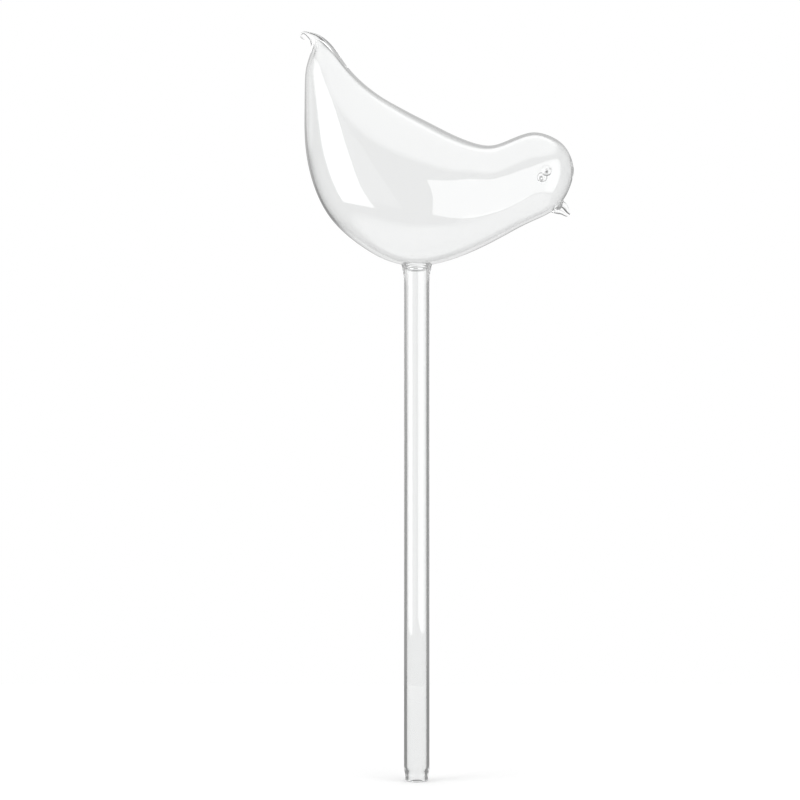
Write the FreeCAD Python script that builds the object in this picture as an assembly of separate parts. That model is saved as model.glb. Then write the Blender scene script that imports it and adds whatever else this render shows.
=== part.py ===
"""A bird-shaped watering globe of blown clear glass, in millimetres.

The frame: Z runs up along the stem, with its zero at the lip of the open mouth, X points to the
side that the bird's head is on, and Y runs across the bird, which is symmetric about Y = 0.
"""
import FreeCAD, Part
import math
import os

from FreeCAD import Vector

# Stem: a straight tube that is pushed into the soil.
STEM_OUTER_DIAMETER = 9.0
STEM_WALL = 1.0
STEM_LENGTH = 181.3         # lip of the mouth to the seam below the bulb
FLARE_LENGTH = 5.0          # top stretch of the stem, which opens towards the bulb
FLARE_SPREAD = 0.6          # added to the outer radius at the seam

# Mouth: the drawn-in, fire-polished lower end of the stem.
MOUTH_LENGTH = 5.5          # stretch over which the tube is drawn in
MOUTH_OUTER_DIAMETER = 8.0
MOUTH_BORE_DIAMETER = 5.8
MOUTH_LAND = 1.8            # even stretch of the narrow bore, above the round of the lip

# Weld bead: the ring of glass that seals the stem to the bulb.
BEAD_SWELL = 0.4            # how far the ring stands into the bore
BEAD_HEIGHT = 1.6           # height of that swelling
BEAD_CREEP = 1.3            # how far the ring creeps outwards under the bulb
BEAD_REACH = 3.2            # height of the ring before the bulb is taken out of it

# Bulb: the blown bird.
BIRD_LENGTH = 96.5          # curl of the tail to the forehead, along X
BIRD_HEIGHT = 83.6          # seam of the stem to the top of the tail, along Z
BIRD_WIDTH = 47.0           # across the belly, along Y
BULB_WALL = 0.8

# Drawn tail: a solid point that ends in a thin curled thread.
TAIL_THREAD_DIAMETER = 0.7

# Beak: one root gather and two drawn halves.
BEAK_ROOT_LENGTH = 5.4      # along the skin of the head
BEAK_ROOT_WIDTH = 4.6       # across the bird
BEAK_ROOT_RISE = 1.5        # out of the head
BEAK_HALF_DIAMETER = 2.3
BEAK_HALF_WIDTH = 3.0

# Eyes: on each side of the head a low drop of glass with a small nub where the rod was drawn off.
EYE_DROP_DIAMETER = 3.8
EYE_DROP_RISE = 0.7
EYE_NUB_DIAMETER = 1.3      # where it grows out of the drop
EYE_TIP_DIAMETER = 0.4      # of the nub's round tip
EYE_NUB_RISE = 2.0          # top of the nub above the skin of the head
EYE_ROOT = 1.0              # part of the drop's blank that the head is taken out of

# One overrun serves every cut that has to pass a face.
OVERRUN = 2.0

# The bird's sections from tail to head. Each row gives the upper and the lower end of a section in
# the plane of symmetry, as shares of the length (from the stem's axis) and of the height (from the
# stem's seam), and then the section's width as a share of the bird's width.
BULB_SECTION_SHARES = (
    (-0.353, 0.989, -0.391, 0.965, 0.082),
    (-0.330, 0.970, -0.388, 0.947, 0.114),
    (-0.302, 0.935, -0.390, 0.917, 0.172),
    (-0.268, 0.879, -0.404, 0.862, 0.268),
    (-0.220, 0.813, -0.411, 0.773, 0.386),
    (-0.149, 0.744, -0.412, 0.660, 0.540),
    (-0.077, 0.693, -0.404, 0.479, 0.727),
    (-0.014, 0.654, -0.330, 0.239, 0.904),
    (0.059, 0.611, -0.208, 0.101, 0.990),
    (0.135, 0.567, -0.089, 0.029, 1.000),
    (0.215, 0.532, 0.049, 0.018, 0.927),
    (0.271, 0.523, 0.175, 0.060, 0.805),
    (0.324, 0.540, 0.298, 0.127, 0.702),
    (0.389, 0.570, 0.405, 0.193, 0.638),
    (0.450, 0.577, 0.487, 0.238, 0.598),
    (0.513, 0.549, 0.533, 0.285, 0.472),
    (0.559, 0.491, 0.566, 0.360, 0.232),
)
FOREHEAD_SHARES = (0.577, 0.421)

# The space inside the bulb narrows to a point short of the solid tail: where that point lies, and
# how thick the wall is at the sections after the first, as shares of the bulb's wall. It has its
# plain thickness at the sections beyond these.
CAVITY_TAIL_SHARES = (-0.369, 0.973)
TAIL_WALL_SHARES = (2.5, 1.9, 1.4, 1.1)

# The tail beyond the bulb's first section: the centres of its sections as shares of the bird's
# length and height, and their diameters as shares of the thread's. It curls over and down.
TAIL_SHARES = (
    (-0.384, 0.985, 4.20),
    (-0.397, 0.994, 2.70),
    (-0.409, 1.001, 1.65),
    (-0.419, 1.001, 1.10),
    (-0.425, 0.994, 0.90),
    (-0.424, 0.985, 0.80),
    (-0.418, 0.978, 0.65),
)
TAIL_END_SHARES = (-0.412, 0.973)

# The beak's halves from root to tip: centres as shares of the bird's length and height, and
# thickness and width as shares of the half's. The root sits where its line leaves the head.
UPPER_BEAK_SHARES = (
    (0.513, 0.290, 0.85),
    (0.530, 0.277, 1.00),
    (0.543, 0.267, 0.95),
    (0.551, 0.252, 0.70),
    (0.558, 0.239, 0.42),
)
UPPER_BEAK_END_SHARES = (0.566, 0.229)
LOWER_BEAK_SHARES = (
    (0.494, 0.264, 0.85),
    (0.505, 0.249, 0.95),
    (0.519, 0.244, 0.80),
    (0.533, 0.239, 0.58),
    (0.544, 0.231, 0.42),
)
LOWER_BEAK_END_SHARES = (0.554, 0.222)
BEAK_ROOT_LOWER_SHARES = (0.498, 0.250)
BEAK_ROOT_UPPER_SHARES = (0.538, 0.289)
BEAK_ROOT_ANGLES = (0, 20, 40, 60, 78)      # of the rings between its rim and its top, in degrees

# Place of the eyes, as shares of the bird's length and height.
EYE_SHARES = (0.467, 0.403)

# Number of control points round a section.
RING_POINTS = 16

ORIGIN = Vector(0, 0, 0)
UP = Vector(0, 0, 1)
ACROSS = Vector(0, 1, 0)


def bird_point(length_share, height_share):
    """A point in the plane of symmetry, from its shares of the bird's length and height."""
    return Vector(length_share * BIRD_LENGTH, 0, STEM_LENGTH + height_share * BIRD_HEIGHT)


def oval(centre, rise, half_rise, half_width):
    """Control points of an oval: half_rise along the unit vector rise, half_width across."""
    step = 2 * math.pi / RING_POINTS
    # An even cubic through its own knots lies inside its control points by this ratio.
    pull = 6 / (4 + 2 * math.cos(step))
    return [
        centre
        + rise * (pull * half_rise * math.cos(step * index))
        + ACROSS * (pull * half_width * math.sin(step * index))
        for index in range(RING_POINTS)]


def skinned(ovals, tip, root=None):
    """A solid with a smooth skin over a row of ovals that ends in a rounded tip.

    Its other end is round too if a root point is given, and otherwise the first oval is a flat end.
    """
    rows = ovals + [[tip] * RING_POINTS]
    if root:
        rows.insert(0, [root] * RING_POINTS)
    places = [0.0]
    for row, next_row in zip(rows, rows[1:]):
        gaps = [point.distanceToPoint(other) for point, other in zip(row, next_row)]
        places.append(places[-1] + sum(gaps) / RING_POINTS)
    columns = []
    for column in zip(*rows):
        curve = Part.BSplineCurve()
        curve.interpolate(Points=list(column), Parameters=places)
        columns.append(curve.getPoles())
    ring_knots = [float(index) for index in range(RING_POINTS + 1)]
    surface = Part.BSplineSurface()
    surface.buildFromPolesMultsKnots(
        [list(row) for row in zip(*columns)],
        curve.getMultiplicities(), [1] * len(ring_knots),
        curve.getKnots(), ring_knots,
        False, True, curve.Degree, curve.Degree)
    if root:
        # A skin that is round at both ends is made of two faces that meet at its middle oval.
        middle = places[len(places) // 2]
        faces = [
            surface.toShape(places[0], middle, ring_knots[0], ring_knots[-1]),
            surface.toShape(middle, places[-1], ring_knots[0], ring_knots[-1])]
    else:
        side = surface.toShape()
        rim = [edge for edge in side.Edges if edge.isClosed() and not edge.Degenerated]
        faces = [side, Part.Face(Part.Wire(rim))]
    shell = Part.Shell(faces)
    shell.sewShape()
    return Part.Solid(shell)


def drawn(path, tip, first_oval=None):
    """A solid drawn out along a path of (centre, thickness, width), from its root to its tip."""
    ovals = [first_oval] if first_oval else []
    centres = [centre for centre, thickness, width in path] + [tip]
    for index, (centre, thickness, width) in enumerate(path):
        before = centres[max(index - 1, 0)]
        rise = ACROSS.cross(centres[index + 1] - before)
        rise.normalize()
        ovals.append(oval(centre, rise, thickness / 2, width / 2))
    return skinned(ovals, tip)


def bulb_section(row, inset):
    """One of the bird's sections, pulled in by inset."""
    upper_length, upper_height, lower_length, lower_height, width = row
    upper = bird_point(upper_length, upper_height)
    lower = bird_point(lower_length, lower_height)
    rise = upper - lower
    half_rise = rise.Length / 2 - inset
    rise.normalize()
    return oval((upper + lower) / 2, rise, half_rise, width * BIRD_WIDTH / 2 - inset)


def bulb_outside():
    """The bird as if it were solid glass."""
    ovals = [bulb_section(row, 0) for row in BULB_SECTION_SHARES]
    return skinned(ovals, bird_point(*FOREHEAD_SHARES))


def bulb_cavity():
    """The space inside the bulb, which ends short of the tail's seam."""
    rows = BULB_SECTION_SHARES[1:]
    wall_shares = list(TAIL_WALL_SHARES) + [1] * (len(rows) - len(TAIL_WALL_SHARES))
    ovals = [bulb_section(row, share * BULB_WALL) for row, share in zip(rows, wall_shares)]
    forehead = bird_point(*FOREHEAD_SHARES) - Vector(BULB_WALL, 0, 0)
    return skinned(ovals, forehead, bird_point(*CAVITY_TAIL_SHARES))


def profile_point(radius, height):
    return Vector(radius, 0, height)


def line(start, end):
    return Part.LineSegment(start, end).toShape()


def swing(start, end):
    """A gentle S between two points that leaves and arrives along the stem's axis."""
    middle = (start.z + end.z) / 2
    curve = Part.BezierCurve()
    curve.setPoles([start, Vector(start.x, 0, middle), Vector(end.x, 0, middle), end])
    return curve.toShape()


def revolved(edges, centre=ORIGIN, axis=UP):
    return Part.Face(Part.Wire(edges)).revolve(centre, axis, 360)


def stem_tube():
    """The straight tube with its polished mouth below and its flare above."""
    outer = STEM_OUTER_DIAMETER / 2
    inner = outer - STEM_WALL
    mouth_outer = MOUTH_OUTER_DIAMETER / 2
    mouth_inner = MOUTH_BORE_DIAMETER / 2
    lip = (mouth_outer - mouth_inner) / 2
    lip_outer = profile_point(mouth_outer, lip)
    lip_low = profile_point(mouth_outer - lip, 0)
    lip_inner = profile_point(mouth_inner, lip)
    land_top = profile_point(mouth_inner, lip + MOUTH_LAND)
    bore_start = profile_point(inner, MOUTH_LENGTH)
    bore_end = profile_point(inner, STEM_LENGTH)
    flare_end = profile_point(outer + FLARE_SPREAD, STEM_LENGTH)
    flare_start = profile_point(outer, STEM_LENGTH - FLARE_LENGTH)
    flare = Part.BezierCurve()
    flare.setPoles([flare_end, profile_point(outer, STEM_LENGTH - FLARE_LENGTH / 2), flare_start])
    straight_start = profile_point(outer, MOUTH_LENGTH)
    return revolved([
        Part.Arc(lip_outer, lip_low, lip_inner).toShape(),
        line(lip_inner, land_top),
        swing(land_top, bore_start),
        line(bore_start, bore_end),
        line(bore_end, flare_end),
        flare.toShape(),
        line(flare_start, straight_start),
        swing(straight_start, lip_outer)])


def neck_weld_bead(outside):
    """The ring between the stem's end and the skin of the bulb."""
    inner = STEM_OUTER_DIAMETER / 2 - STEM_WALL
    outer = STEM_OUTER_DIAMETER / 2 + FLARE_SPREAD
    foot_inner = profile_point(inner, STEM_LENGTH)
    swell = profile_point(inner - BEAD_SWELL, STEM_LENGTH + BEAD_HEIGHT / 2)
    swell_end = profile_point(inner, STEM_LENGTH + BEAD_HEIGHT)
    top_inner = profile_point(inner, STEM_LENGTH + BEAD_REACH)
    top_outer = profile_point(outer + BEAD_CREEP, STEM_LENGTH + BEAD_REACH)
    foot_outer = profile_point(outer, STEM_LENGTH)
    creep = Part.BezierCurve()
    creep.setPoles([top_outer, profile_point(outer, STEM_LENGTH + BEAD_HEIGHT), foot_outer])
    blank = revolved([
        Part.Arc(foot_inner, swell, swell_end).toShape(),
        line(swell_end, top_inner),
        line(top_inner, top_outer),
        creep.toShape(),
        line(foot_outer, foot_inner)])
    return blank.cut(outside)


def bird_bulb(outside):
    """The blown shell, open to the stem at its neck."""
    neck_radius = STEM_OUTER_DIAMETER / 2 - STEM_WALL
    neck_hole = Part.makeCylinder(
        neck_radius, BEAD_REACH + OVERRUN, Vector(0, 0, STEM_LENGTH), UP)
    return outside.cut(bulb_cavity()).cut(neck_hole)


def tail_tip():
    """The solid point that starts on the bulb's first section."""
    path = []
    for length_share, height_share, size_share in TAIL_SHARES:
        size = size_share * TAIL_THREAD_DIAMETER
        path.append((bird_point(length_share, height_share), size, size))
    seam = bulb_section(BULB_SECTION_SHARES[0], 0)
    return drawn(path, bird_point(*TAIL_END_SHARES), seam)


def beak_root(outside):
    """A low gather that lies on the front of the head."""
    upper = bird_point(*BEAK_ROOT_UPPER_SHARES)
    lower = bird_point(*BEAK_ROOT_LOWER_SHARES)
    along = upper - lower
    along.normalize()
    out = ACROSS.cross(along)
    centre = (upper + lower) / 2
    half_length = BEAK_ROOT_LENGTH / 2
    half_width = BEAK_ROOT_WIDTH / 2
    ovals = [oval(centre - out * BEAK_ROOT_RISE, along, half_length, half_width)]
    for angle in BEAK_ROOT_ANGLES:
        turn = math.radians(angle)
        ovals.append(oval(
            centre + out * (BEAK_ROOT_RISE * math.sin(turn)), along,
            half_length * math.cos(turn), half_width * math.cos(turn)))
    return skinned(ovals, centre + out * BEAK_ROOT_RISE).cut(outside)


def beak_half(shares, end_shares):
    """The blank of one half of the beak, from inside the head to its tip."""
    path = []
    for length_share, height_share, size_share in shares:
        path.append((
            bird_point(length_share, height_share),
            size_share * BEAK_HALF_DIAMETER,
            size_share * BEAK_HALF_WIDTH))
    return drawn(path, bird_point(*end_shares))


def eye_bead(outside, side):
    """The drop on one side of the head: side is 1 for +Y and -1 for -Y."""
    place = bird_point(*EYE_SHARES)
    out = ACROSS * side
    ray = outside.common(Part.makeLine(place, place + out * BIRD_WIDTH))
    seat = place + out * ray.Length
    drop = EYE_DROP_DIAMETER / 2
    nub = EYE_NUB_DIAMETER / 2
    tip = EYE_TIP_DIAMETER / 2
    ahead = Vector(1, 0, 0)
    root = seat - out * EYE_ROOT
    root_edge = root + ahead * drop
    edge = seat + ahead * drop
    tip_foot = seat + ahead * tip + out * (EYE_NUB_RISE - tip)
    tip_round = seat + out * (EYE_NUB_RISE - tip) + (ahead + out) * (tip * math.sqrt(0.5))
    tip_top = seat + out * EYE_NUB_RISE
    flank = Part.BezierCurve()
    flank.setPoles([
        edge,
        edge + out * EYE_DROP_RISE,
        seat + ahead * nub + out * EYE_DROP_RISE,
        tip_foot])
    blank = revolved([
        line(root, root_edge),
        line(root_edge, edge),
        flank.toShape(),
        Part.Arc(tip_foot, tip_round, tip_top).toShape(),
        line(tip_top, root)], seat, out)
    return blank.cut(outside)


def build():
    """Every piece of the globe by its name."""
    outside = bulb_outside()
    root = beak_root(outside)
    upper = beak_half(UPPER_BEAK_SHARES, UPPER_BEAK_END_SHARES).cut(outside).cut(root)
    lower = beak_half(LOWER_BEAK_SHARES, LOWER_BEAK_END_SHARES).cut(outside).cut(root).cut(upper)
    return {
        "stem_tube": stem_tube(),
        "neck_weld_bead": neck_weld_bead(outside),
        "bird_bulb": bird_bulb(outside),
        "tail_tip": tail_tip(),
        "beak_root": root,
        "beak_upper": upper,
        "beak_lower": lower,
        "eye_bead_left": eye_bead(outside, 1),
        "eye_bead_right": eye_bead(outside, -1),
    }


def main():
    os.makedirs("parts", exist_ok=True)
    for name, shape in build().items():
        solids = shape.Solids
        print(name, shape.isValid(), len(solids), round(shape.Volume, 2))
        shape.exportStep(os.path.join("parts", name + ".step"))


main()
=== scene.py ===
"""A bird-shaped watering globe of clear glass on a pale floor, in metres.

The frame: Z runs up along the stem from the lip of its open mouth, X points to the side that the
bird's head is on, and Y points away from the camera.
"""

import math

import bmesh
import bpy
import numpy as np
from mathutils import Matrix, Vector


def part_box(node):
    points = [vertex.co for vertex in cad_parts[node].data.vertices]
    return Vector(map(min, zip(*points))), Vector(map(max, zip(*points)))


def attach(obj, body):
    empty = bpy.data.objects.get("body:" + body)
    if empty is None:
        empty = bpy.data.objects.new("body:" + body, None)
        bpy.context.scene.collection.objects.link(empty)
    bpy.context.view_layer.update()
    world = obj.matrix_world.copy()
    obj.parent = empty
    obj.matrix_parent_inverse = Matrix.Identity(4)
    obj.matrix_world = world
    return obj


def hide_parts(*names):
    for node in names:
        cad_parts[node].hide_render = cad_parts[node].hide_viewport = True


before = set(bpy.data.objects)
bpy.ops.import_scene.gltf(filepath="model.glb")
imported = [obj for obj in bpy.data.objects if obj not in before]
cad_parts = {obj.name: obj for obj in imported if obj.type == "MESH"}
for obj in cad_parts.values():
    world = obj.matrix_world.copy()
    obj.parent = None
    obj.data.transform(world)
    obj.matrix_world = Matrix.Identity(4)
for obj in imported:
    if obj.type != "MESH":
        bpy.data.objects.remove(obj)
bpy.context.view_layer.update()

# Stem: a straight tube, flared where it meets the bulb and drawn in at its mouth.
STEM_RADIUS = 0.0045
STEM_WALL = 0.001
STEM_LENGTH = 0.1813            # lip of the mouth to the seam below the bulb
FLARE_LENGTH = 0.005
FLARE_SPREAD = 0.0006           # added to the outer radius at the seam
MOUTH_LENGTH = 0.0055           # stretch over which the tube is drawn in
MOUTH_RADIUS = 0.004
MOUTH_BORE_RADIUS = 0.0029
MOUTH_LAND = 0.0018             # even stretch of the narrow bore, above the round of the lip

# Weld bead: the ring of glass that seals the stem to the bulb.
BEAD_SWELL = 0.0004             # how far the ring stands into the bore
BEAD_HEIGHT = 0.0016            # height of that swelling
BEAD_CREEP = 0.0013             # how far the ring creeps outwards under the bulb
BEAD_REACH = 0.0032             # height of the ring before it is one with the bulb

# Bird.
BIRD_LENGTH = 0.0965            # curl of the tail to the forehead, along X
BIRD_HEIGHT = 0.0836            # seam of the stem to the top of the tail, along Z
BIRD_WIDTH = 0.047              # across the belly, along Y
BULB_WALL = 0.0008
TAIL_THREAD = 0.0007            # diameter of the thread that the tail ends in
BEAK_ROOT_LENGTH = 0.0054       # along the skin of the head
BEAK_ROOT_WIDTH = 0.0046        # across the bird
BEAK_ROOT_RISE = 0.0015         # out of the head
BEAK_HALF_DIAMETER = 0.0023
BEAK_HALF_WIDTH = 0.003

# Eyes: on each side of the head a low drop of glass with a small nub.
EYE_DROP_RADIUS = 0.0019
EYE_DROP_RISE = 0.0007
EYE_NUB_RADIUS = 0.00065        # where the nub grows out of the drop
EYE_TIP_RADIUS = 0.0002         # of the nub's round tip
EYE_NUB_RISE = 0.002            # top of the nub above the skin of the head
EYE_ROOT = 0.001                # depth of the drop's blank in the head

# The bird's sections from tail to head: the upper and the lower end of each in the plane of
# symmetry, as shares of the length and the height, and its share of the width.
BULB_SECTION_SHARES = (
    (-0.353, 0.989, -0.391, 0.965, 0.082),
    (-0.330, 0.970, -0.388, 0.947, 0.114),
    (-0.302, 0.935, -0.390, 0.917, 0.172),
    (-0.268, 0.879, -0.404, 0.862, 0.268),
    (-0.220, 0.813, -0.411, 0.773, 0.386),
    (-0.149, 0.744, -0.412, 0.660, 0.540),
    (-0.077, 0.693, -0.404, 0.479, 0.727),
    (-0.014, 0.654, -0.330, 0.239, 0.904),
    (0.059, 0.611, -0.208, 0.101, 0.990),
    (0.135, 0.567, -0.089, 0.029, 1.000),
    (0.215, 0.532, 0.049, 0.018, 0.927),
    (0.271, 0.523, 0.175, 0.060, 0.805),
    (0.324, 0.540, 0.298, 0.127, 0.702),
    (0.389, 0.570, 0.405, 0.193, 0.638),
    (0.450, 0.577, 0.487, 0.238, 0.598),
    (0.513, 0.549, 0.533, 0.285, 0.472),
    (0.559, 0.491, 0.566, 0.360, 0.232),
)
FOREHEAD_SHARES = (0.577, 0.421)

# Where the cavity's point lies in the tail, and how many times thicker than elsewhere the wall is
# at the sections after the first.
CAVITY_TAIL_SHARES = (-0.369, 0.973)
TAIL_WALL_SHARES = (2.5, 1.9, 1.4, 1.1)

# The tail beyond the first section: the centres of its sections as shares of the length and the
# height, and their diameters as shares of the thread's.
TAIL_SHARES = (
    (-0.384, 0.985, 4.20),
    (-0.397, 0.994, 2.70),
    (-0.409, 1.001, 1.65),
    (-0.419, 1.001, 1.10),
    (-0.425, 0.994, 0.90),
    (-0.424, 0.985, 0.80),
    (-0.418, 0.978, 0.65),
)
TAIL_END_SHARES = (-0.412, 0.973)

# The beak's halves from root to tip, in the same way, with thickness and width as shares of the
# half's. The root is a dome on the line between its two ends, with sections at these angles.
UPPER_BEAK_SHARES = (
    (0.513, 0.290, 0.85),
    (0.530, 0.277, 1.00),
    (0.543, 0.267, 0.95),
    (0.551, 0.252, 0.70),
    (0.558, 0.239, 0.42),
)
UPPER_BEAK_END_SHARES = (0.566, 0.229)
LOWER_BEAK_SHARES = (
    (0.494, 0.264, 0.85),
    (0.505, 0.249, 0.95),
    (0.519, 0.244, 0.80),
    (0.533, 0.239, 0.58),
    (0.544, 0.231, 0.42),
)
LOWER_BEAK_END_SHARES = (0.554, 0.222)
BEAK_ROOT_LOWER_SHARES = (0.498, 0.250)
BEAK_ROOT_UPPER_SHARES = (0.538, 0.289)
BEAK_ROOT_ANGLES = (0, 20, 40, 60, 78)

# Fineness of the meshes.
SPLINE_POLES = 16               # poles of the round spline that a section stands for
RING_STEPS = 192                # points round the bird, the tail and the stem
SMALL_STEPS = 64                # points round the beak and the eyes
SKIN_ROWS = 260
TAIL_ROWS = 60
SMALL_ROWS = 40
BEAD_ROWS = 24                  # along the curve of an eye's drop and of the weld bead
EYE_TIP_ROWS = 12
EYE_TIP_TURN = 85               # degrees of the tip's arc, which then closes in a point
CURVE_ROWS = 16                 # along each curve of the stem and the bore
STRAIGHT_ROWS = 60
CREASE = 30                     # degrees: a sharper edge than this stays an edge

# Camera: level, square to the bird's side.
PICTURE_WIDTH = 0.28344         # at the stem's distance
PICTURE_CENTRE_X = -0.00592
PICTURE_CENTRE_Z = 0.13495
CAMERA_DISTANCE = 0.9
SENSOR_WIDTH = 36.0             # in millimetres, as the lens is
LEVEL = math.radians(90)        # tips a camera or a lamp up from looking straight down

# Glass: a faint grey in the clear colour, and slight waves from drawing and blowing it.
# Grain is in waves per metre, and wave is their height.
GLASS_IOR = 1.47
TUBE_COLOUR = (0.957, 0.961, 0.96)
TUBE_GRAIN = 1.0
TUBE_STREAK = (420, 420, 6)     # the tube's grain is multiplied by these along X, Y and Z
TUBE_WAVE = 0.00001
BLOWN_COLOUR = (0.952, 0.956, 0.955)
BLOWN_GRAIN = 45.0
BLOWN_WAVE = 0.00006
LAID_COLOUR = (0.957, 0.961, 0.96)
LAID_GRAIN = 260.0
LAID_WAVE = 0.00001
EVEN = (1, 1, 1)                # no streaks
WAVE_DETAIL = 1.0
SMEAR_FROM = 0.45               # above this height of the noise the skin is less polished
SMEAR_ROUGHNESS = 0.012
# Painted glow: the glass shines faintly white by itself where a ray has been mirrored many times inside
# it.
PAINTED_GLOW_AFTER = 3                # mirrorings inside the glass, after which its painted glow sets in
PAINTED_GLOW = 0.013

# Studio, as strengths: 1 is white. A place in the sky is given by the sine of its rise.
WHITE = (1, 1, 1, 1)
ROOM = 0.30
CEILING = 1.7
CEILING_FROM = (0.60, 0.80)     # rise where it starts and where it is full
GROUND = 1.2
GROUND_FROM = (-0.58, -0.78)
BACKDROP_EDGE = (0.26, 0.50)    # rise where the backdrop starts to fade and where it is darkest
STEEP_LOSS = 0.85               # what it has lost there
# What the glass mirrors of the walls: turn, rise, reach and softness in degrees, and strength.
BACKDROP_PATCHES = (
    (0, 0, 3, 5, 1.0),
    (-50, 0, 22, 12, 0.33),
    (-50, 32, 27, 10, 0.80),
    (-22, 8, 6, 10, 0.50),
    (50, 0, 20, 12, 0.33),
    (50, 32, 27, 10, 0.60),
    (0, -34, 20, 14, 0.85),
    (0, 32, 24, 12, 0.58),
)
# Name, turn in degrees, distance, reach to each side, heights, and radiance.
SOFTBOXES = (
    ("left_softbox", -54, 0.294, (-0.180, 0.051), (0.025, 0.5), 2.8),
    ("right_softbox", 57, 0.227, (-0.220, 0.102), (0.032, 0.333), 2.0),
)
FAR_WALL_AFTER = 2              # a mirrored ray that passes more faces of glass met the far wall
DEEP_LOSS = 0.75                # share of a lamp that its reflection in the far wall lacks
FLOOR_HALF_SIZE = 0.3
FLOOR_COLOUR = (0.5, 0.5, 0.5)
FLOOR_GLOW = (0.28, 0.52)       # at the foot and at the corners, where the lamps reach less
FLOOR_MIRRORED = 0.28
LIGHT_BOUNCES = 32

# Kinds of faces, which tell the pieces apart once the glass is one body. CUT is on no piece.
BULB, TAIL, ROOT, UPPER, LOWER, EYE_RIGHT, EYE_LEFT, WELD, CUT = range(9)

# Name, kind of faces, the node that the piece replaces, and its material slot.
PIECES = (
    ("glass_weld_bead", WELD, "neck_weld_bead", "laid_glass"),
    ("glass_bird_bulb", BULB, "bird_bulb", "blown_glass"),
    ("glass_tail_tip", TAIL, "tail_tip", "laid_glass"),
    ("glass_beak_root", ROOT, "beak_root", "laid_glass"),
    ("glass_beak_upper", UPPER, "beak_upper", "laid_glass"),
    ("glass_beak_lower", LOWER, "beak_lower", "laid_glass"),
    ("glass_eye_right", EYE_RIGHT, "eye_bead_right", "laid_glass"),
    ("glass_eye_left", EYE_LEFT, "eye_bead_left", "laid_glass"),
)


def bird_point(length_share, height_share):
    """A point in the plane of symmetry as (x, z)."""
    return np.array((length_share * BIRD_LENGTH, STEM_LENGTH + height_share * BIRD_HEIGHT))


def in_space(point):
    """A point in the plane of symmetry as (x, y, z)."""
    return (point[0], 0.0, point[1])


def section(centre, rise, half_rise, half_width):
    """A section as one row: its centre, its half rise as a vector, and its half width."""
    return np.array((*centre, *(rise * half_rise), half_width))


def bulb_section(shares, inset):
    """One of the bird's sections, pulled in by inset."""
    upper_x, upper_z, lower_x, lower_z, width = shares
    upper = bird_point(upper_x, upper_z)
    lower = bird_point(lower_x, lower_z)
    rise = upper - lower
    height = np.linalg.norm(rise)
    return section((upper + lower) / 2, rise / height, height / 2 - inset,
                   width * BIRD_WIDTH / 2 - inset)


def tip_section(point):
    """A section that has shrunk to a point."""
    return np.array((*point, 0, 0, 0))


def place_of_rows(rows):
    """Where each section lies along the skin: the mean distance between neighbours' poles."""
    step = 2 * math.pi / SPLINE_POLES
    # The poles of a round cubic spline lie this much further out than the spline.
    pull = 6 / (4 + 2 * math.cos(step))
    angles = np.arange(SPLINE_POLES) * step
    places = [0.0]
    for row, next_row in zip(rows, rows[1:]):
        x, z, rise_x, rise_z, half_width = next_row - row
        gaps = np.sqrt(
            (x + pull * rise_x * np.cos(angles)) ** 2
            + (z + pull * rise_z * np.cos(angles)) ** 2
            + (pull * half_width * np.sin(angles)) ** 2)
        places.append(places[-1] + gaps.mean())
    return np.array(places)


def end_slope(places, rows, at):
    """Slope of the cubic through four rows, which is its third coefficient."""
    powers = np.vander(places - at, 4)
    return np.linalg.solve(powers, rows)[2]


def smooth_rows(rows, count):
    """Sections along one smooth cubic skin through the given ones."""
    rows = np.array(rows)
    places = place_of_rows(rows)
    gaps = np.diff(places)
    size = len(rows)
    system = np.eye(size)
    known = np.zeros_like(rows)
    known[0] = end_slope(places[:4], rows[:4], places[0])
    known[-1] = end_slope(places[-4:], rows[-4:], places[-1])
    for index in range(1, size - 1):
        before, after = gaps[index - 1], gaps[index]
        system[index, index - 1:index + 2] = after, 2 * (before + after), before
        known[index] = 3 * (
            after * (rows[index] - rows[index - 1]) / before
            + before * (rows[index + 1] - rows[index]) / after)
    slopes = np.linalg.solve(system, known)
    fine = []
    for place in np.linspace(places[0], places[-1], count):
        index = min(np.searchsorted(places, place, "right") - 1, size - 2)
        gap = gaps[index]
        t = (place - places[index]) / gap
        fine.append(
            (1 + 2 * t) * (1 - t) ** 2 * rows[index]
            + t * (1 - t) ** 2 * gap * slopes[index]
            + t * t * (3 - 2 * t) * rows[index + 1]
            + t * t * (t - 1) * gap * slopes[index + 1])
    return fine


def drawn_rows(path, tip, first=None):
    """Sections along a path of (centre, thickness, width), from first, if given, to the tip."""
    centres = [centre for centre, *size in path] + [tip]
    rows = [first] if first is not None else []
    for index, (centre, thickness, width) in enumerate(path):
        along = centres[index + 1] - centres[max(index - 1, 0)]
        rise = np.array((along[1], -along[0])) / np.linalg.norm(along)
        rows.append(section(centre, rise, thickness / 2, width / 2))
    rows.append(tip_section(tip))
    return rows


def bezier(points, count):
    """Points along a Bezier curve through its control points."""
    out = []
    for step in range(count):
        t = step / (count - 1)
        level = [np.array(point, float) for point in points]
        while len(level) > 1:
            level = [a * (1 - t) + b * t for a, b in zip(level, level[1:])]
        out.append(level[0])
    return out


def swing(start, end, count):
    """Points along a gentle S between two points that leaves and arrives along the stem's axis."""
    middle = (start[1] + end[1]) / 2
    return bezier([start, (start[0], middle), (end[0], middle), end], count)


def arc(centre, radius, start, end, count):
    """Points along an arc, between two angles in degrees."""
    angles = np.radians(np.linspace(start, end, count))
    return [np.array((centre[0] + radius * math.cos(a), centre[1] + radius * math.sin(a)))
            for a in angles]


def turns(steps):
    """Evenly spaced angles round a full turn."""
    return [2 * math.pi * index / steps for index in range(steps)]


def ring(row, steps):
    """The points of a section, in the order that every skin shares."""
    x, z, rise_x, rise_z, half_width = row
    return [(x + rise_x * math.cos(angle), half_width * math.sin(angle), z + rise_z * math.cos(angle))
            for angle in turns(steps)]


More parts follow.
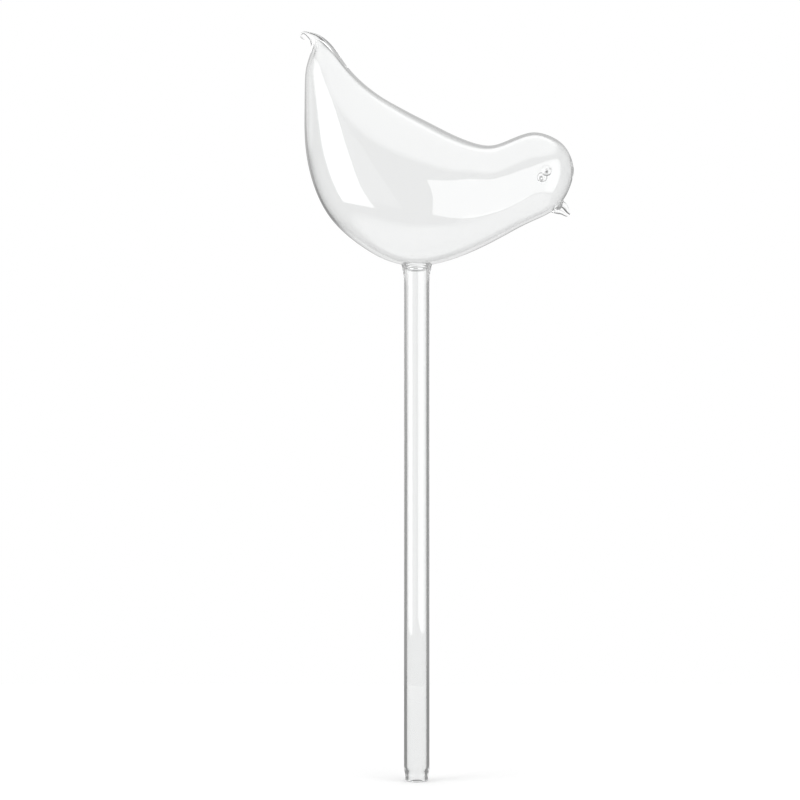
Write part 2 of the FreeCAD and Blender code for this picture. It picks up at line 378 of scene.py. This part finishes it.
def turned_rings(profile):
    """Rings round the stem's axis from a profile of (radius, height)."""
    return [[(radius * math.cos(angle), radius * math.sin(angle), height)
             for angle in turns(RING_STEPS)] for radius, height in profile]


def band(steps, row, next_row):
    """The faces between two rings of points."""
    faces = []
    for index in range(steps):
        beside = (index + 1) % steps
        faces.append((row * steps + index, row * steps + beside,
                      next_row * steps + beside, next_row * steps + index))
    return faces


def new_object(name, data):
    """An object in the scene that shows the mesh, lamp or camera."""
    thing = bpy.data.objects.new(name, data)
    bpy.context.scene.collection.objects.link(thing)
    return thing


def new_mesh(name, points, faces, kinds=None):
    """A mesh object with smooth faces. kinds gives each face's material index."""
    mesh = bpy.data.meshes.new(name)
    mesh.from_pydata(points, [], faces)
    mesh.polygons.foreach_set("use_smooth", [True] * len(faces))
    if kinds:
        mesh.polygons.foreach_set("material_index", kinds)
    return new_object(name, mesh)


def closed_skin(name, rings, kinds, first=None, last=None):
    """A closed mesh over rings, with a kind for the faces that follow each ring.

    Its ends are points if first or last is given, or else flat.
    """
    steps = len(rings[0])
    points = [point for one in rings for point in one]
    faces, face_kinds = [], []
    for row in range(len(rings) - 1):
        faces += band(steps, row, row + 1)
        face_kinds += [kinds[row]] * steps
    for tip, row, kind, flip in ((first, 0, kinds[0], True), (last, len(rings) - 1, kinds[-1], False)):
        rim = [row * steps + index for index in range(steps)]
        if tip is None:
            faces.append(tuple(reversed(rim)) if flip else tuple(rim))
            face_kinds.append(kind)
            continue
        points.append(tip)
        for here, beside in zip(rim, rim[1:] + rim[:1]):
            pair = (beside, here) if flip else (here, beside)
            faces.append((*pair, len(points) - 1))
            face_kinds.append(kind)
    thing = new_mesh(name, points, faces, face_kinds)
    turn_outwards(thing)
    return thing


def turn_outwards(thing):
    """Makes all faces of a closed mesh face outwards."""
    work = bmesh.new()
    work.from_mesh(thing.data)
    bmesh.ops.recalc_face_normals(work, faces=work.faces)
    work.to_mesh(thing.data)
    work.free()


def combine(target, others, operation):
    """Adds the other meshes to the target, or takes them out of it."""
    for other in others:
        modifier = target.modifiers.new("glass", "BOOLEAN")
        modifier.operation = operation
        modifier.object = other
        modifier.solver = "MANIFOLD"
        modifier.material_mode = "INDEX"
        graph = bpy.context.evaluated_depsgraph_get()
        mesh = bpy.data.meshes.new_from_object(target.evaluated_get(graph))
        target.modifiers.clear()
        target.data = mesh
        bpy.data.objects.remove(other)


def split(body, kind, name):
    """A new object with the body's faces of one kind."""
    work = bmesh.new()
    work.from_mesh(body.data)
    others = [face for face in work.faces if face.material_index != kind]
    bmesh.ops.delete(work, geom=others, context="FACES")
    mesh = bpy.data.meshes.new(name)
    work.to_mesh(mesh)
    work.free()
    mesh.materials.clear()
    mesh.polygons.foreach_set("material_index", [0] * len(mesh.polygons))
    mesh.polygons.foreach_set("use_smooth", [True] * len(mesh.polygons))
    mesh.set_sharp_from_angle(angle=math.radians(CREASE))
    return new_object(name, mesh)


def bird_with_tail():
    """The bird's outer skin with its tail, as if it were solid glass."""
    tail_end = bird_point(*TAIL_END_SHARES)
    forehead = bird_point(*FOREHEAD_SHARES)
    sections = [bulb_section(shares, 0) for shares in BULB_SECTION_SHARES]
    path = [(bird_point(x, z), size * TAIL_THREAD, size * TAIL_THREAD) for x, z, size in TAIL_SHARES]
    tail = smooth_rows(drawn_rows(path, tail_end, sections[0]), TAIL_ROWS)
    bird = smooth_rows(sections + [tip_section(forehead)], SKIN_ROWS)
    # The tail's first row is the bird's, and the last row of each is its end point.
    rows = list(reversed(tail[:-1])) + bird[1:-1]
    rings = [ring(row, RING_STEPS) for row in rows]
    kinds = [TAIL] * (len(tail) - 2) + [BULB] * (len(bird) - 2)
    return closed_skin("skin", rings, kinds, in_space(tail_end), in_space(forehead))


def cavity():
    """The space inside the bulb, which ends in a point in the tail."""
    forehead = bird_point(*FOREHEAD_SHARES) - np.array((BULB_WALL, 0))
    tail = bird_point(*CAVITY_TAIL_SHARES)
    sections = BULB_SECTION_SHARES[1:]
    wall_shares = list(TAIL_WALL_SHARES) + [1] * (len(sections) - len(TAIL_WALL_SHARES))
    inside = [bulb_section(shares, wall * BULB_WALL) for shares, wall in zip(sections, wall_shares)]
    rows = smooth_rows([tip_section(tail)] + inside + [tip_section(forehead)], SKIN_ROWS)
    rings = [ring(row, RING_STEPS) for row in rows[1:-1]]
    return closed_skin("cavity", rings, [BULB] * len(rings), in_space(tail), in_space(forehead))


def beak_half(name, shares, end_shares, kind):
    """The blank of one half of the beak, from inside the head to its tip."""
    path = [(bird_point(x, z), size * BEAK_HALF_DIAMETER, size * BEAK_HALF_WIDTH)
            for x, z, size in shares]
    end = bird_point(*end_shares)
    rows = smooth_rows(drawn_rows(path, end), SMALL_ROWS)[:-1]
    rings = [ring(row, SMALL_STEPS) for row in rows]
    return closed_skin(name, rings, [kind] * len(rings), None, in_space(end))


def beak_root():
    """The blank of the gather on the front of the head: a dome with a foot inside the head."""
    upper = bird_point(*BEAK_ROOT_UPPER_SHARES)
    lower = bird_point(*BEAK_ROOT_LOWER_SHARES)
    along = (upper - lower) / np.linalg.norm(upper - lower)
    out = np.array((along[1], -along[0]))
    centre = (upper + lower) / 2
    half_length = BEAK_ROOT_LENGTH / 2
    half_width = BEAK_ROOT_WIDTH / 2
    rows = [section(centre - out * BEAK_ROOT_RISE, along, half_length, half_width)]
    for angle in BEAK_ROOT_ANGLES:
        turn = math.radians(angle)
        rows.append(section(centre + out * (BEAK_ROOT_RISE * math.sin(turn)), along,
                            half_length * math.cos(turn), half_width * math.cos(turn)))
    top = centre + out * BEAK_ROOT_RISE
    rows.append(tip_section(top))
    rings = [ring(row, SMALL_STEPS) for row in smooth_rows(rows, SMALL_ROWS)[:-1]]
    return closed_skin("root", rings, [ROOT] * len(rings), None, in_space(top))


def eye(side, kind):
    """The blank of one eye: side is 1 for +Y and -1 for -Y."""
    low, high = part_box("eye_bead_left" if side > 0 else "eye_bead_right")
    x, z = (low.x + high.x) / 2, (low.z + high.z) / 2
    seat = (high.y if side > 0 else low.y) - side * EYE_NUB_RISE
    tip_foot = EYE_NUB_RISE - EYE_TIP_RADIUS
    profile = [(EYE_DROP_RADIUS, -EYE_ROOT)]
    profile += bezier([
        (EYE_DROP_RADIUS, 0), (EYE_DROP_RADIUS, EYE_DROP_RISE),
        (EYE_NUB_RADIUS, EYE_DROP_RISE), (EYE_TIP_RADIUS, tip_foot)], BEAD_ROWS)
    profile += arc((0, tip_foot), EYE_TIP_RADIUS, 0, EYE_TIP_TURN, EYE_TIP_ROWS)[1:]
    rings = [[(x + radius * math.cos(angle), seat + side * rise, z + radius * math.sin(angle))
              for angle in turns(SMALL_STEPS)] for radius, rise in profile]
    return closed_skin("eye", rings, [kind] * len(rings), None, (x, seat + side * EYE_NUB_RISE, z))


def weld_blank():
    """The outside of the weld bead, up into the bulb, with flat ends that show on no piece."""
    outer = STEM_RADIUS + FLARE_SPREAD
    profile = bezier([
        (outer, STEM_LENGTH), (outer, STEM_LENGTH + BEAD_HEIGHT),
        (outer + BEAD_CREEP, STEM_LENGTH + BEAD_REACH)], BEAD_ROWS)
    rings = turned_rings(profile)
    thing = closed_skin("weld", rings, [WELD] * (len(rings) - 1))
    for face in thing.data.polygons:
        if len(face.vertices) == RING_STEPS:
            face.material_index = CUT
    return thing


def bore_blank():
    """The way from the stem into the bulb, pinched where the weld bead swells into it."""
    inner = STEM_RADIUS - STEM_WALL
    half = BEAD_HEIGHT / 2
    radius = (half * half + BEAD_SWELL * BEAD_SWELL) / (2 * BEAD_SWELL)
    spread = math.degrees(math.asin(half / radius))
    centre = (inner - BEAD_SWELL + radius, STEM_LENGTH + half)
    profile = [np.array((inner, STEM_LENGTH - BEAD_HEIGHT))]
    swell = arc(centre, radius, 180 + spread, 180 - spread, CURVE_ROWS)
    profile += swell
    profile.append(np.array((inner, STEM_LENGTH + 2 * BEAD_REACH)))
    # Faces past the swelling, and the flat end inside the cavity, count as the bulb's.
    kinds = [WELD] * len(swell) + [BULB] * 2
    return closed_skin("bore", turned_rings(profile), kinds)


def bird_body():
    """The bird with all that is laid on it, as one hollow body that is open at its neck."""
    body = bird_with_tail()
    combine(body, [
        beak_root(),
        beak_half("upper", UPPER_BEAK_SHARES, UPPER_BEAK_END_SHARES, UPPER),
        beak_half("lower", LOWER_BEAK_SHARES, LOWER_BEAK_END_SHARES, LOWER),
        eye(-1, EYE_RIGHT), eye(1, EYE_LEFT), weld_blank()], "UNION")
    combine(body, [cavity(), bore_blank()], "DIFFERENCE")
    return body


def stem():
    """The tube with its mouth and flare, open where it is fused to the weld bead."""
    inner = STEM_RADIUS - STEM_WALL
    lip = (MOUTH_RADIUS - MOUTH_BORE_RADIUS) / 2
    flare_start = STEM_LENGTH - FLARE_LENGTH
    straight = np.linspace(flare_start, MOUTH_LENGTH, STRAIGHT_ROWS)
    profile = bezier([
        (STEM_RADIUS + FLARE_SPREAD, STEM_LENGTH), (STEM_RADIUS, STEM_LENGTH - FLARE_LENGTH / 2),
        (STEM_RADIUS, flare_start)], CURVE_ROWS)
    profile += [np.array((STEM_RADIUS, height)) for height in straight[1:-1]]
    profile += swing((STEM_RADIUS, MOUTH_LENGTH), (MOUTH_RADIUS, lip), CURVE_ROWS)
    profile += arc((MOUTH_RADIUS - lip, lip), lip, 0, -180, CURVE_ROWS)[1:]
    profile += swing((MOUTH_BORE_RADIUS, lip + MOUTH_LAND), (inner, MOUTH_LENGTH), CURVE_ROWS)
    profile += [np.array((inner, height)) for height in reversed(straight[:-1])]
    profile.append(np.array((inner, STEM_LENGTH)))
    rings = turned_rings(profile)
    points = [point for one in rings for point in one]
    faces = []
    for row in range(len(rings) - 1):
        faces += band(RING_STEPS, row + 1, row)
    return new_mesh("stem", points, faces)


def put(tree, socket, value):
    """Sets an input to a plain value, or links it to another node's output."""
    if isinstance(value, bpy.types.NodeSocket):
        tree.links.new(value, socket)
    else:
        socket.default_value = value


def add(tree, kind, **inputs):
    """A new node with the named inputs put in."""
    node = tree.nodes.new("ShaderNode" + kind)
    for name, value in inputs.items():
        put(tree, node.inputs[name.replace("_", " ")], value)
    return node


def math_node(tree, operation, *values):
    """The result of a sum on values and other nodes' outputs."""
    node = add(tree, "Math")
    node.operation = operation
    for socket, value in zip(node.inputs, values):
        put(tree, socket, value)
    return node.outputs[0]


def one_less(tree, value):
    """1 less the value, so that a switch turns round."""
    return math_node(tree, "SUBTRACT", 1, value)


def smooth_step(tree, value, start, end):
    """0 before start and 1 after end, with a soft change between them."""
    node = add(tree, "MapRange", Value=value, From_Min=start, From_Max=end)
    node.interpolation_type = "SMOOTHSTEP"
    return node.outputs["Result"]


def pick(tree, switch, off, on):
    """The value off where the switch is 0, and on where it is 1."""
    return add(tree, "Mix", Factor=switch, A=off, B=on).outputs["Result"]


def light_path(tree):
    """Switches by name, each 1 for its kind of ray and 0 for others.

    A ray is seen by the camera, seen through glass, mirrored, or mirrored deep in the glass.
    """
    path = add(tree, "LightPath").outputs
    unmirrored = math_node(tree, "LESS_THAN", path["Glossy Depth"], 1)
    mirrored = one_less(tree, unmirrored)
    through = math_node(tree, "MULTIPLY", path["Is Transmission Ray"], unmirrored)
    far_in = math_node(tree, "GREATER_THAN", path["Transmission Depth"], FAR_WALL_AFTER)
    deep = math_node(tree, "MULTIPLY", mirrored, far_in)
    return {"seen": path["Is Camera Ray"], "through": through, "mirrored": mirrored, "deep": deep}


def glass(name, colour, grain, wave, streak):
    """Clear glass whose skin has slight waves, with a painted white glow where rays have been mirrored
    many times inside it.
    """
    material = bpy.data.materials.new(name)
    material.use_nodes = True
    tree = material.node_tree
    place = add(tree, "TexCoord").outputs["Object"]
    place = add(tree, "Mapping", Vector=place, Scale=streak).outputs["Vector"]
    noise = add(tree, "TexNoise", Vector=place, Scale=grain, Detail=WAVE_DETAIL).outputs[0]
    bump = add(tree, "Bump", Height=noise, Distance=wave)
    smear = add(tree, "MapRange", Value=noise, From_Min=SMEAR_FROM, To_Max=SMEAR_ROUGHNESS)
    # Painted glow: where a ray has been mirrored again and again inside the wall, the glass itself shines
    # faintly white, standing in for light that the wall lets out bit by bit.
    mirrors = add(tree, "LightPath").outputs["Glossy Depth"]
    painted_glow_on = math_node(tree, "GREATER_THAN", mirrors, PAINTED_GLOW_AFTER)
    shader = tree.nodes["Principled BSDF"].inputs
    put(tree, shader["Base Color"], (*colour, 1))
    put(tree, shader["Transmission Weight"], 1)
    put(tree, shader["IOR"], GLASS_IOR)
    put(tree, shader["Normal"], bump.outputs[0])
    put(tree, shader["Roughness"], smear.outputs[0])
    put(tree, shader["Emission Color"], WHITE)
    put(tree, shader["Emission Strength"], math_node(tree, "MULTIPLY", painted_glow_on, PAINTED_GLOW))
    return material


def dress(piece, node, slot, finishes):
    """Gives a piece its slot's material, hangs it on the root body and hides the node that it stands for.
    """
    piece.data.materials.append(finishes[slot])
    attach(piece, "root")
    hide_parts(node)


def build_glass():
    """Every piece of the globe in its glass."""
    finishes = {
        "tube_glass": glass("drawn tube glass", TUBE_COLOUR, TUBE_GRAIN, TUBE_WAVE, TUBE_STREAK),
        "blown_glass": glass("blown glass", BLOWN_COLOUR, BLOWN_GRAIN, BLOWN_WAVE, EVEN),
        "laid_glass": glass("laid-on glass", LAID_COLOUR, LAID_GRAIN, LAID_WAVE, EVEN)}
    body = bird_body()
    dress(stem(), "stem_tube", "tube_glass", finishes)
    for name, kind, node, slot in PIECES:
        dress(split(body, kind, name), node, slot, finishes)
    bpy.data.objects.remove(body)


def direction(turn, rise):
    """A unit vector: turn in degrees from straight behind the object to the right, rise upwards."""
    turn, rise = math.radians(turn), math.radians(rise)
    return (math.sin(turn) * math.cos(rise), math.cos(turn) * math.cos(rise), math.sin(rise))


def patch(tree, place, turn, rise, reach, soft, tone):
    """A pale region of the studio round a direction, with a soft rim, as a strength."""
    facing = add(tree, "VectorMath")
    facing.operation = "DOT_PRODUCT"
    put(tree, facing.inputs[0], place)
    put(tree, facing.inputs[1], direction(turn, rise))
    inner, outer = math.cos(math.radians(reach)), math.cos(math.radians(reach + soft))
    region = smooth_step(tree, facing.outputs["Value"], outer, inner)
    return math_node(tree, "MULTIPLY", region, tone)


def mirrored_room(tree, place, height):
    """The studio as the glass mirrors it: a dim room with paler regions."""
    ceiling = smooth_step(tree, height, *CEILING_FROM)
    ground = smooth_step(tree, height, *GROUND_FROM)
    regions = [math_node(tree, "MULTIPLY", ceiling, CEILING), math_node(tree, "MULTIPLY", ground, GROUND)]
    regions += [patch(tree, place, *values) for values in BACKDROP_PATCHES]
    light = ROOM
    for region in regions:
        light = math_node(tree, "MAXIMUM", light, region)
    return light


def studio_world():
    """White for the camera and through the glass, and a room with light and dark in its mirrors."""
    world = bpy.data.worlds.new("studio")
    world.use_nodes = True
    tree = world.node_tree
    tree.nodes.clear()
    place = add(tree, "TexCoord").outputs["Generated"]
    height = add(tree, "SeparateXYZ", Vector=place).outputs["Z"]
    ray = light_path(tree)
    # The white backdrop goes all round, and what the glass bends steeply past it is darker.
    steep = smooth_step(tree, math_node(tree, "ABSOLUTE", height), *BACKDROP_EDGE)
    backdrop = one_less(tree, math_node(tree, "MULTIPLY", steep, STEEP_LOSS))
    light = pick(tree, ray["through"], mirrored_room(tree, place, height), backdrop)
    shader = add(tree, "Background", Color=WHITE, Strength=pick(tree, ray["seen"], light, 1))
    add(tree, "OutputWorld", Surface=shader.outputs[0])
    bpy.context.scene.world = world


def softbox(name, turn, distance, across, heights, radiance):
    """An upright soft light. turn is in degrees from the camera's side, positive to the right."""
    angle = math.radians(turn)
    out = np.array((math.sin(angle), -math.cos(angle)))
    along = np.array((math.cos(angle), math.sin(angle)))
    middle = out * distance + along * (across[0] + across[1]) / 2
    width = across[1] - across[0]
    height = heights[1] - heights[0]
    light = bpy.data.lights.new(name, "AREA")
    light.shape = "RECTANGLE"
    light.size = width
    light.size_y = height
    light.energy = radiance * math.pi * width * height
    light.use_nodes = True
    tree = light.node_tree
    ray = light_path(tree)
    shown = one_less(tree, math_node(tree, "MAXIMUM", ray["seen"], ray["through"]))
    dimmed = one_less(tree, math_node(tree, "MULTIPLY", ray["deep"], DEEP_LOSS))
    put(tree, tree.nodes["Emission"].inputs["Strength"], math_node(tree, "MULTIPLY", shown, dimmed))
    thing = new_object(name, light)
    thing.location = (*middle, (heights[0] + heights[1]) / 2)
    thing.rotation_euler = (LEVEL, 0, angle)


def floor_material():
    """Matt and pale, with a glow that fills up what the lamps leave short of white.

    The glow is for the camera and through glass only, and in the glass's mirrors the floor is dim.
    """
    material = bpy.data.materials.new("pale floor")
    material.use_nodes = True
    tree = material.node_tree
    tree.nodes.clear()
    ray = light_path(tree)
    far = add(tree, "VectorMath")
    far.operation = "LENGTH"
    put(tree, far.inputs[0], add(tree, "TexCoord").outputs["Object"])
    foot_glow, corner_glow = FLOOR_GLOW
    fill = add(tree, "MapRange", Value=far.outputs["Value"], To_Min=foot_glow, To_Max=corner_glow,
               From_Max=math.hypot(FLOOR_HALF_SIZE, FLOOR_HALF_SIZE)).outputs[0]
    straight = math_node(tree, "MAXIMUM", ray["seen"], ray["through"])
    glow = add(tree, "Emission", Strength=math_node(tree, "MULTIPLY", straight, fill))
    matt = add(tree, "BsdfDiffuse", Color=(*FLOOR_COLOUR, 1))
    both = add(tree, "AddShader")
    put(tree, both.inputs[0], glow.outputs[0])
    put(tree, both.inputs[1], matt.outputs[0])
    dim = add(tree, "Emission", Strength=FLOOR_MIRRORED)
    choice = add(tree, "MixShader", Fac=ray["mirrored"])
    put(tree, choice.inputs[1], both.outputs[0])
    put(tree, choice.inputs[2], dim.outputs[0])
    add(tree, "OutputMaterial", Surface=choice.outputs[0])
    return material


def floor():
    """A square of floor round the stem's foot."""
    size = FLOOR_HALF_SIZE
    corners = [(-size, -size, 0), (size, -size, 0), (size, size, 0), (-size, size, 0)]
    sheet = new_mesh("floor", corners, [(0, 1, 2, 3)])
    sheet.data.materials.append(floor_material())


def camera():
    """The camera, whose picture is PICTURE_WIDTH wide at the stem."""
    data = bpy.data.cameras.new("camera")
    data.sensor_width = SENSOR_WIDTH
    data.lens = SENSOR_WIDTH * CAMERA_DISTANCE / PICTURE_WIDTH
    thing = new_object("camera", data)
    thing.location = (PICTURE_CENTRE_X, -CAMERA_DISTANCE, PICTURE_CENTRE_Z)
    thing.rotation_euler = (LEVEL, 0, 0)
    bpy.context.scene.camera = thing


build_glass()
studio_world()
for box in SOFTBOXES:
    softbox(*box)
floor()
camera()
scene = bpy.context.scene
scene.view_settings.view_transform = "Standard"
scene.cycles.max_bounces = LIGHT_BOUNCES
scene.cycles.glossy_bounces = LIGHT_BOUNCES
scene.cycles.transmission_bounces = LIGHT_BOUNCES
